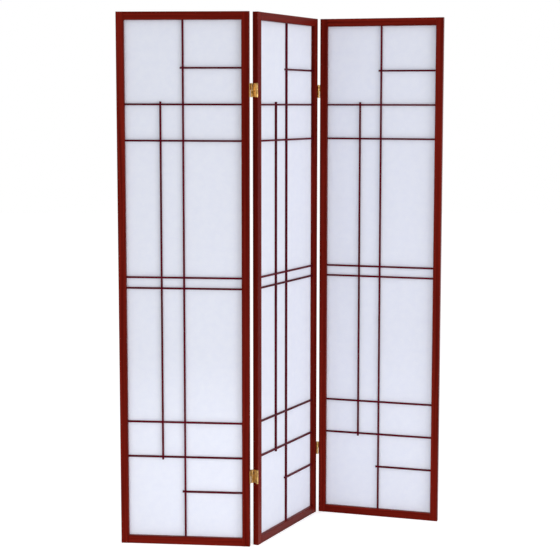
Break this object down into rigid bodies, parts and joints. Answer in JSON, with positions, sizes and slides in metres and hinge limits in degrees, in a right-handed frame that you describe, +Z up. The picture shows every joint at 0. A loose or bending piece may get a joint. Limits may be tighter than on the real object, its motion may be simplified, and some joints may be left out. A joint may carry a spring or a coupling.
{
  "type": "folding screen",
  "caption": "Three-panel folding screen: lacquered wood frames with a thin strip lattice over white paper, joined by two-way brass hinges.",
  "frame": {"origin": "on the floor, under the middle of the standing screen's bounding box", "axes": "+X to the right and +Y away from someone who faces the screen's front, +Z up"},
  "size_m": [1.1116, 0.4186, 1.784],
  "materials": {
    "frame_wood": "red-brown lacquer, satin",
    "lattice_wood": "dark red-brown lacquer, satin",
    "backing_wood": "red-brown lacquer, satin",
    "paper": "white fibre paper, matt",
    "hinge_brass": "bright brass plate",
    "screw_brass": "bright brass plate"
  },
  "bodies": {
    "left_panel": {"left_joint_left_leaves": "hinge_brass", "left_panel_backing_strips": "backing_wood", "left_panel_bottom_rail": "frame_wood", "left_panel_hinge_screws": "screw_brass", "left_panel_left_stile": "frame_wood", "left_panel_long_upright": "lattice_wood", "left_panel_paper": "paper", "left_panel_right_stile": "frame_wood", "left_panel_row_1": "lattice_wood", "left_panel_row_2": "lattice_wood", "left_panel_row_3": "lattice_wood", "left_panel_row_4": "lattice_wood", "left_panel_row_5": "lattice_wood", "left_panel_row_6": "lattice_wood", "left_panel_row_7": "lattice_wood", "left_panel_row_8": "lattice_wood", "left_panel_short_upright": "lattice_wood", "left_panel_top_rail": "frame_wood"},
    "middle_panel": {"left_joint_right_leaves": "hinge_brass", "middle_panel_backing_strips": "backing_wood", "middle_panel_bottom_rail": "frame_wood", "middle_panel_hinge_screws": "screw_brass", "middle_panel_left_stile": "frame_wood", "middle_panel_long_upright": "lattice_wood", "middle_panel_paper": "paper", "middle_panel_right_stile": "frame_wood", "middle_panel_row_1": "lattice_wood", "middle_panel_row_2": "lattice_wood", "middle_panel_row_3": "lattice_wood", "middle_panel_row_4": "lattice_wood", "middle_panel_row_5": "lattice_wood", "middle_panel_row_6": "lattice_wood", "middle_panel_row_7": "lattice_wood", "middle_panel_row_8": "lattice_wood", "middle_panel_short_upright": "lattice_wood", "middle_panel_top_rail": "frame_wood", "right_joint_left_leaves": "hinge_brass"},
    "right_panel": {"right_joint_right_leaves": "hinge_brass", "right_panel_backing_strips": "backing_wood", "right_panel_bottom_rail": "frame_wood", "right_panel_hinge_screws": "screw_brass", "right_panel_left_stile": "frame_wood", "right_panel_long_upright": "lattice_wood", "right_panel_paper": "paper", "right_panel_right_stile": "frame_wood", "right_panel_row_1": "lattice_wood", "right_panel_row_2": "lattice_wood", "right_panel_row_3": "lattice_wood", "right_panel_row_4": "lattice_wood", "right_panel_row_5": "lattice_wood", "right_panel_row_6": "lattice_wood", "right_panel_row_7": "lattice_wood", "right_panel_row_8": "lattice_wood", "right_panel_short_upright": "lattice_wood", "right_panel_top_rail": "frame_wood"},
    "left_links": {"left_joint_links": "hinge_brass", "left_joint_pins": "hinge_brass"},
    "right_links": {"right_joint_links": "hinge_brass", "right_joint_pins": "hinge_brass"}
  },
  "joints": [
    {"name": "left_front_pin", "type": "hinge", "parent": "middle_panel", "child": "left_links", "pos_m": [-0.09365, -0.20055, 1.53], "axis": [0, 0, 1], "range_deg": [0, 100]},
    {"name": "left_back_pin", "type": "hinge", "parent": "left_links", "child": "left_panel", "pos_m": [-0.1117, -0.19042, 1.53], "axis": [0, 0, 1], "range_deg": [-112, 68]},
    {"name": "right_back_pin", "type": "hinge", "parent": "middle_panel", "child": "right_links", "pos_m": [0.10881, 0.20254, 1.53], "axis": [0, 0, 1], "range_deg": [0, 100]},
    {"name": "right_front_pin", "type": "hinge", "parent": "right_links", "child": "right_panel", "pos_m": [0.12687, 0.19241, 1.53], "axis": [0, 0, 1], "range_deg": [-101.1, 78.9]}
  ]
}
